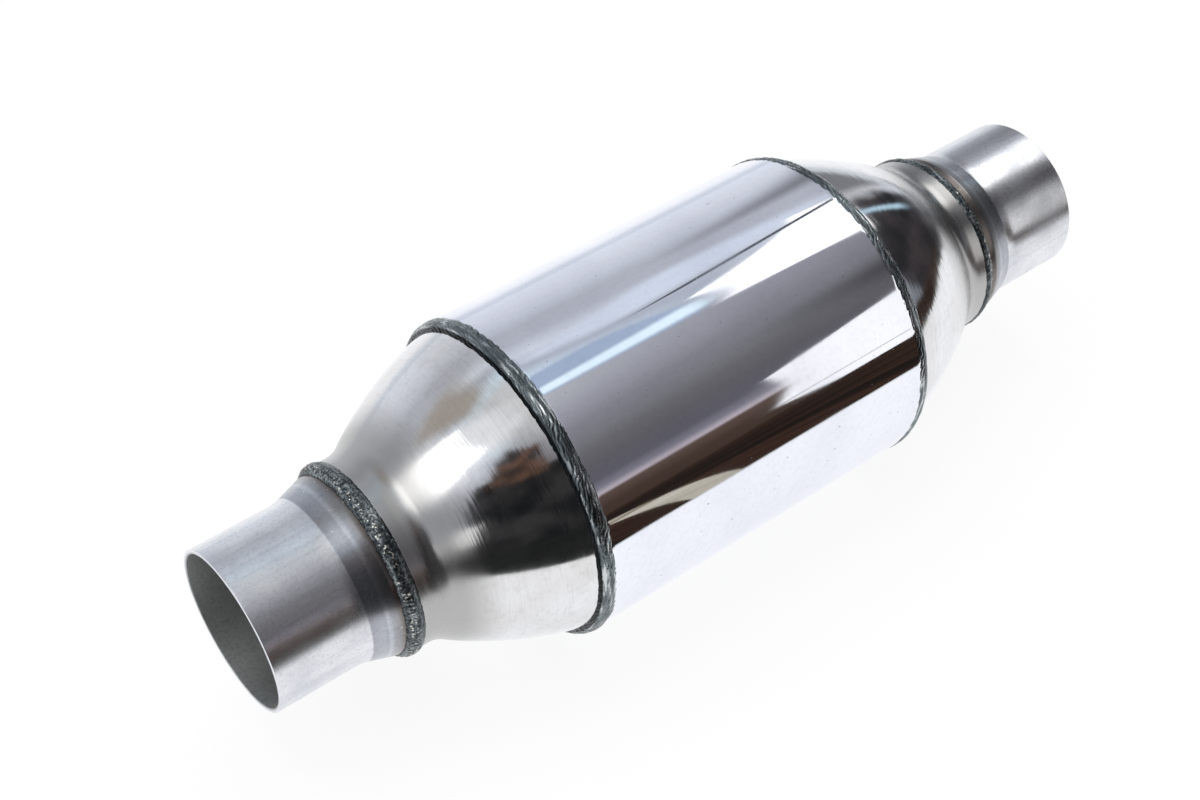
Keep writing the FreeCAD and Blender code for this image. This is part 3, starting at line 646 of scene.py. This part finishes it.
def fibre_mat():
    """Intumescent mat of ceramic fibre with flakes of vermiculite: off-white and matt, with gold
    brown flakes about 1 mm across and loose fibres, drawn far coarser than the real ones."""
    made, tree, place = new_material("fibre_mat")
    flakes = add(tree, "TexVoronoi", {"Vector": place, "Scale": 1 / (1.1 * MM)})
    chosen = add(tree, "SeparateColor", (flakes.outputs["Color"],))
    fibres = patches(tree, place, 0.3 * MM, (8, 1, 1), 4.0)
    shadowed = ("#bfb7a3", fibres, 0.35, 0.7, 1.0)
    colour = layered(tree, "#d8d2c2", shadowed, ("#8f7443", chosen, 0.66, 0.70, 1.0))
    skin(tree, colour, 0.95, relief(tree, (fibres, 0.12 * MM)), metallic=0.0)
    return made


def dress(piece, material):
    """Gives every face of the piece the one material."""
    piece.data.materials.clear()
    piece.data.materials.append(material)


# ------------------------------------------------------------------ the converter
# How far a bead's toes, and its root, lie below the faces that it joins, and the root's place
# past the joint.
SUNK, ROOT_PAST = 0.45 * MM, 0.6 * MM


def neck_bead(end, seed):
    """The bead between a pipe and its cone's neck. The inlet's is the wider of the two."""
    reach, width, crown = (3.7, 6.8, 3.8) if end == "inlet" else (2.2, 5.2, 3.0)
    toe = (NECK_START - reach * MM, SOCKET_RADIUS - SUNK)
    shoulder = (NECK_START + (width - reach) * MM, NECK_RADIUS - SUNK)
    root = (NECK_START + ROOT_PAST, SOCKET_RADIUS - SUNK)
    name, node = f"{end}_neck_bead", f"{end}_pipe_weld"
    face = spattered_face(seed)
    return ring_bead(name, node, toe, shoulder, root, crown * MM, face, segments=1300, steps=34)


def rim_bead(end, seed):
    """The bead between a cone and the shell. Its toe is buried where the cone curves inward."""
    reach, width, crown = 4.7, 6.7, 4.1
    toe = (SHELL_START - reach * MM, SHELL_BORE - 1.2 * MM)
    shoulder = (SHELL_START + (width - reach) * MM, SHELL_RADIUS - SUNK)
    root = (SHELL_START + ROOT_PAST, SHELL_BORE - SUNK)
    name, node = f"{end}_rim_bead", f"{end}_cone_weld"
    face = rope_face(seed)
    return ring_bead(name, node, toe, shoulder, root, crown * MM, face, segments=1400, steps=48)


def build_converter():
    """Makes the pieces that show, and gives them and the CAD's own inner pieces their finishes."""
    polished, spun, tube = polished_stainless(), spun_stainless(), drawn_tube()
    weld, inner, coat = brushed_weld("brushed_weld"), rolled_inner_steel(), washcoated_foil()
    # The first quarter of a rim bead is buried in the cone, so its near toe shows from there on.
    rim_weld = brushed_weld("rim_weld", [(0.34, 0.27), (0.99, 1.04)])
    neck_weld = brushed_weld("neck_weld", [(0.17, 0.10), (0.86, 0.93)], spatter=True)
    dress(rolled_shell(), polished)
    dress(seam_weld(), weld)
    stub, funnel = turned(pipe_line()), turned(cone_line(), 360)
    for end, place, seed in (("inlet", lambda grid: grid, 20), ("outlet", other_end, 50)):
        dress(surface(f"{end}_stub", place(stub), [f"{end}_pipe"], crease=3.0), tube)
        dress(surface(f"{end}_funnel", place(funnel), [f"{end}_cone"]), spun)
        dress(neck_bead(end, seed), neck_weld)
        dress(rim_bead(end, seed + 5), rim_weld)
        dress(nodes[f"{end}_stop_ring"], inner)
        dress(nodes[f"{end}_ring_tacks"], weld)
    # The real foils are wound 1.3 mm apart: these are coarser, so that the cells show.
    pitch, thickness = 2.4 * MM, 0.16 * MM
    dress(wound_strip("smooth_foil", "flat_foil", pitch, thickness), coat)
    dress(wound_strip("corrugated_foil", "wave_foil", pitch, thickness, waves=3.0 * MM), coat)
    dress(nodes["matrix_mantle"], inner)
    dress(nodes["support_mat"], fibre_mat())
    wire = knitted_wire()
    for end in ("inlet", "outlet"):
        dress(nodes[f"{end}_mesh_ring"], wire)


build_converter()

# ------------------------------------------------------------------ studio
MIDDLE = np.array([LENGTH / 2, 0, 0])
FLOOR = cad_low.z - 0.2 * MM
# Half the width of the room's floor, in metres.
ROOM = 6.0

# What polished metal mirrors. Each card is its name, its corners as bearing and rise in degrees,
# its colour and strength, how soft its edges are, its distance in metres, and, where it isn't
# even, how ragged it is, its second colour and how much of that shows.
CARDS = (
    ("ceiling_panel", [(53, 48), (104, 50), (97, 60.3), (74, 60.3)], "#ffffff", 1.5, (0.05, 0.05), 5.5),
    ("lower_panel", [(60, 26), (89, 26), (103, 51), (58, 51)], "#ffffff", 2.2, (0.2, 0.12), 5.6),
    ("pale_ceiling", [(38, 42), (58, 45), (58, 60), (42, 58)], "#e0e9f5", 0.95, (0.6, 0.5), 6.1),
    ("warm_wall", [(-60, 44), (-6, 38), (-10, 68), (-60, 70)], "#b0a9a2", 1.0, (0.7, 0.5), 6.3),
    ("panel_edge", [(57.6, 48), (60, 48), (60.6, 56.5), (58.2, 59)], "#4f535b", 1.0, (0.4, 0.1), 5.2),
    ("blue_glow", [(59, 60.4), (98, 60.4), (100, 71), (56, 71)], "#b1c1d8", 0.92, (0.3, 0.2), 5.8),
    ("blue_tube", [(76, 60.2), (95, 60.2), (97, 69), (81, 69)], "#e6f8ff", 1.1, (0.7, 0.3), 5.4),
    ("near_shade", [(96, 26), (142, 20), (138, 48), (100, 52)], "#403f42", 1.0, (0.5, 0.7), 6.4),
    ("near_panel", [(136, 4), (150.8, 4), (148, 22.5), (131, 35)], "#ffffff", 1.12, (0.05, 0.04), 5.5, 0.12),
    ("near_panel_foot", [(136, -8), (145, -8), (150.8, 4), (136, 4.3)], "#ffffff", 1.12, (0.05, 0.04), 5.5),
    ("right_dark", [(64, -2), (128, -2), (124, 30), (64, 30)], "#29292c", 1.0, (0.2, 0.3), 6.2,
     0.4, "#4c4649", 0.7),
    ("right_window", [(73, 3), (77.5, 3), (79, 32), (75, 32)], "#b5d2e4", 1.2, (0.8, 0.5), 5.5),
    ("right_streak", [(110, -2), (123, -2), (122, 20), (113, 22)], "#8d929b", 1.0, (0.6, 0.3), 5.5),
    ("far_shade", [(34, -3), (66, -3), (66, 34), (34, 40)], "#85868c", 1.0, (0.4, 0.4), 6.6),
    ("left_lamp", [(-110, 38), (-65, 38), (-60, 62), (-114, 65)], "#ffffff", 2.4, (0.08, 0.12), 5.5, 0.25),
    ("lamp_haze", [(-124, 34), (-50, 34), (-40, 86), (-148, 86)], "#f1f4fa", 1.1, (0.6, 0.6), 5.8),
    ("left_window", [(-142, 7), (-132, 7), (-131, 23), (-141, 22)], "#ffffff", 1.35, (0.35, 0.3), 5.5, 0.5),
    ("dark_figure", [(174, -4), (219, -4), (232, 46), (186, 48)], "#17191b", 1.0, (0.08, 0.06), 5.7,
     0.35, "#3c3a3b", 0.8),
    ("brown_figure", [(194, 42), (229, 42), (228, 63), (199, 62)], "#6b5042", 1.0, (0.3, 0.3), 5.6,
     0.6, "#2c2826", 1.0),
    ("dark_cap", [(212, 54), (228, 54), (227, 62), (213, 62)], "#2f2f30", 1.0, (0.5, 0.4), 5.4),
)


def toward(bearing, rise):
    """A direction from its bearing, in degrees from +Y towards +X, and its rise above level."""
    a, e = np.radians(bearing), np.radians(rise)
    return np.stack([np.sin(a) * np.cos(e), np.cos(a) * np.cos(e), np.sin(e)], -1)


def glossy_only(item):
    """Lets a stage piece show in polished metal and nowhere else."""
    item.visible_camera = item.visible_diffuse = item.visible_shadow = False
    item.visible_transmission = item.visible_volume_scatter = False


def staged(name, points, faces, lay=None):
    """A sheet of the stage with an empty material of its own, and that material's tree."""
    item = new_item(name, points, faces, lay)
    made = bpy.data.materials.new(name)
    item.data.materials.append(made)
    return item, emptied(made)


def card(name, corners, colour, strength, soft, distance, ragged=0.0, second="#ffffff", mottle=0.0):
    """A curved card that faces the converter's middle: a sheet stretched evenly between its four
    corners, given in order round it. soft is the share of its half width and half height over
    which its edges fade, ragged how uneven they are, and mottle how far folds in it turn to the
    second colour."""
    u, v = np.meshgrid(np.linspace(-1, 1, 13), np.linspace(-1, 1, 13))
    shares = np.stack([(1 - u) * (1 - v), (1 + u) * (1 - v), (1 + u) * (1 + v), (1 - u) * (1 + v)], -1) / 4
    grid = toward(*np.moveaxis(shares @ np.array(corners, float), -1, 0)) * distance + MIDDLE
    faces = corners_of(np.arange(u.size).reshape(u.shape), (False, False))
    lay = corners_of(np.stack([u, v], -1), (False, False))
    item, tree = staged(name, grid.reshape(-1, 3), faces, lay)
    glossy_only(item)
    place = add(tree, "TexCoord").outputs["UV"]
    folds = patches(tree, place, 0.35, (1, 1, 1), 3.0)
    rag = add(tree, "Math", (folds, ragged, -0.5 * ragged), operation="MULTIPLY_ADD")
    parts = add(tree, "SeparateXYZ", (place,)).outputs
    outward = [add(tree, "Math", (parts[axis],), operation="ABSOLUTE") for axis in (0, 1)]
    # The rag never shows past the sheet's own edge.
    furthest = add(tree, "Math", outward, operation="MAXIMUM")
    seen = add(tree, "MapRange", (furthest, 1.0, 0.97), **EASED)
    for out, share in zip(outward, soft):
        uneven = add(tree, "Math", (out, rag), operation="ADD")
        fade = add(tree, "MapRange", (uneven, 1.0, 1.0 - share), **EASED)
        seen = add(tree, "Math", (seen, fade), operation="MULTIPLY")
    tone = layered(tree, colour, (second, folds, 0.40, 0.65, mottle))
    glow = add(tree, "Emission", (tone, strength))
    add(tree, "OutputMaterial", (add(tree, "MixShader", (seen, add(tree, "BsdfTransparent"), glow)),))


def sheet_on_floor(name, corners, lift):
    """A flat sheet through four corners (x, y), lying that far above the floor."""
    points = np.array([(x, y, FLOOR + lift) for x, y in corners])
    return staged(name, points, np.array([[0, 1, 2, 3]]))


def white_floor():
    """A white paper floor that the rings rest on: mostly its own white, with enough lit white to
    keep the converter's shadow. In polished metal it greys a little with distance, as a paper
    sweep does."""
    front = 0.1 - ROOM
    _, tree = sheet_on_floor("floor", [(-ROOM, front), (ROOM, front), (ROOM, ROOM), (-ROOM, ROOM)], 0)
    radius, _ = off_axis(tree, add(tree, "TexCoord").outputs["Object"])
    glossy = add(tree, "LightPath").outputs["Is Glossy Ray"]
    tone = layered(tree, "#fbfcff", ("#d3dae4", radius, 0.25, 0.9, 1.0))
    tone = add(tree, "Mix", {0: glossy, 6: "#ffffff", 7: tone}, **IN_COLOUR)
    strength = add(tree, "Math", (glossy, 0.06, 0.86), operation="MULTIPLY_ADD")
    white = add(tree, "Emission", (tone, strength))
    lit = add(tree, "BsdfDiffuse", {"Color": (0.18, 0.18, 0.18, 1)})
    add(tree, "OutputMaterial", (add(tree, "AddShader", (white, lit)),))


def room_floor():
    """The paper ends some 210 mm in front of the flow axis, on a dark wooden floor with one pale
    strip, and a metre past the outlet. Only polished metal shows them."""
    wide = [(0.12, -ROOM), (ROOM, -ROOM), (ROOM, -0.13), (0.12, -0.212)]
    dim = [(-ROOM, -ROOM), (0.12, -ROOM), (0.12, -0.212), (-ROOM, -0.44)]
    strip = [(0.44, -0.9), (0.475, -0.9), (0.2435, -0.209), (0.2165, -0.209)]
    lip = [(0.12, -0.212), (ROOM, -0.13), (ROOM, -0.122), (0.12, -0.204)]
    past = [(1.15, -0.2), (ROOM, -0.2), (ROOM, 1.2), (1.15, 0.6)]
    for name, corners, lift, first, second in (
        ("room_floor", wide, 0.3 * MM, "#3d2c24", "#211c19"),
        ("dim_floor", dim, 0.3 * MM, "#252726", "#191a1a"),
        ("pale_strip", strip, 0.4 * MM, "#cfc9b9", "#8f8573"),
        ("paper_edge", lip, 0.3 * MM, "#dfe4e2", "#b9c0bd"),
        ("far_floor", past, 0.3 * MM, "#36363a", "#2a2a2d"),
    ):
        item, tree = sheet_on_floor(name, corners, lift)
        glossy_only(item)
        grain = patches(tree, add(tree, "TexCoord").outputs["Object"], 0.02, (1, 25, 1), 3.0)
        tone = layered(tree, first, (second, grain, 0.40, 0.62, 1.0))
        add(tree, "OutputMaterial", (add(tree, "Emission", (tone, 1.0)),))


def studio_world():
    """White to the camera, a plain level for matt surfaces, and for polished ones a room that is
    pale behind the converter and darker on the near side, each tone set by its rise in degrees."""
    behind = [(-90, "#eef3fa"), (-22, "#f4f9fe"), (-10, "#e0e7f0"), (0, "#dde2ea"), (12, "#d6d9e0")]
    behind += [(24, "#c6cad2"), (33, "#b1b4bb"), (42, "#b3b6be"), (51, "#d0d5dd"), (58, "#adb2bc")]
    behind += [(64, "#cfe0ec"), (72, "#c9cbce"), (90, "#dcdcdc")]
    near = [(-90, "#ffffff"), (-23, "#ffffff"), (-21, "#342a24"), (5, "#45372f"), (11.2, "#5a4a42")]
    near += [(12.8, "#b8aeb3"), (16, "#7d7b84"), (21, "#5d5c64"), (30, "#5f5d61"), (38, "#68676a")]
    near += [(45, "#79787c"), (52, "#838288"), (60, "#999aa1"), (70, "#bdbfc2"), (90, "#dcdcdc")]
    near_bearing = 152
    world = bpy.data.worlds.new("studio")
    bpy.context.scene.world = world
    tree = emptied(world)
    x, y, z = add(tree, "SeparateXYZ", (add(tree, "TexCoord").outputs["Generated"],)).outputs
    rise = add(tree, "Math", (z,), operation="ARCSINE")
    rise = add(tree, "Math", (rise, 1 / math.pi, 0.5), operation="MULTIPLY_ADD")
    far_room, near_room = (
        add(tree, "ValToRGB", (rise,), [(degrees / 180 + 0.5, tone) for degrees, tone in tones])
        for tones in (behind, near)
    )
    # The near side's share is the cosine of the bearing's distance from the near bearing.
    ahead = toward(near_bearing, 0)
    side = add(tree, "Math", (x, ahead[0]), operation="MULTIPLY")
    side = add(tree, "Math", (y, ahead[1], side), operation="MULTIPLY_ADD")
    level = add(tree, "Math", (z, z), operation="MULTIPLY")
    level = add(tree, "Math", (1.0, level), operation="SUBTRACT")
    level = add(tree, "Math", (level,), operation="SQRT")
    level = add(tree, "Math", (level, 0.02), operation="MAXIMUM")
    share = add(tree, "Math", (side, level), operation="DIVIDE")
    room = layered(tree, far_room, (near_room, share, 0.05, 0.5, 1.0))
    white = add(tree, "Background", ("#ffffff", 1.0))
    shown = add(tree, "Background", (room, 1.1))
    plain = add(tree, "Background", ("#ffffff", 0.55))
    ray = add(tree, "LightPath").outputs
    clear = add(tree, "Math", (ray["Is Camera Ray"], ray["Is Transmission Ray"]), operation="MAXIMUM")
    lower = add(tree, "MixShader", (ray["Is Glossy Ray"], plain, shown))
    add(tree, "OutputWorld", (add(tree, "MixShader", (clear, lower, white)),))


def soft_lamp(name, place, aim, size, power):
    """A square soft lamp that polished metal doesn't show as a shape."""
    data = bpy.data.lights.new(name, "AREA")
    data.size, data.energy = size, power
    lamp = bpy.data.objects.new(name, data)
    bpy.context.scene.collection.objects.link(lamp)
    lamp.location = place
    lamp.rotation_mode = "QUATERNION"
    lamp.rotation_quaternion = (Vector(aim) - Vector(place)).to_track_quat("-Z", "Y")
    lamp.visible_glossy = False


def studio():
    """The world, the floors, the lamp and the cards round the converter."""
    bpy.context.scene.view_settings.view_transform = "Standard"
    studio_world()
    white_floor()
    room_floor()
    soft_lamp("top_lamp", place=(0.1, 0.2, 1.3), aim=(0.165, 0, 0), size=1.2, power=7.0)
    for what in CARDS:
        card(*what)


studio()
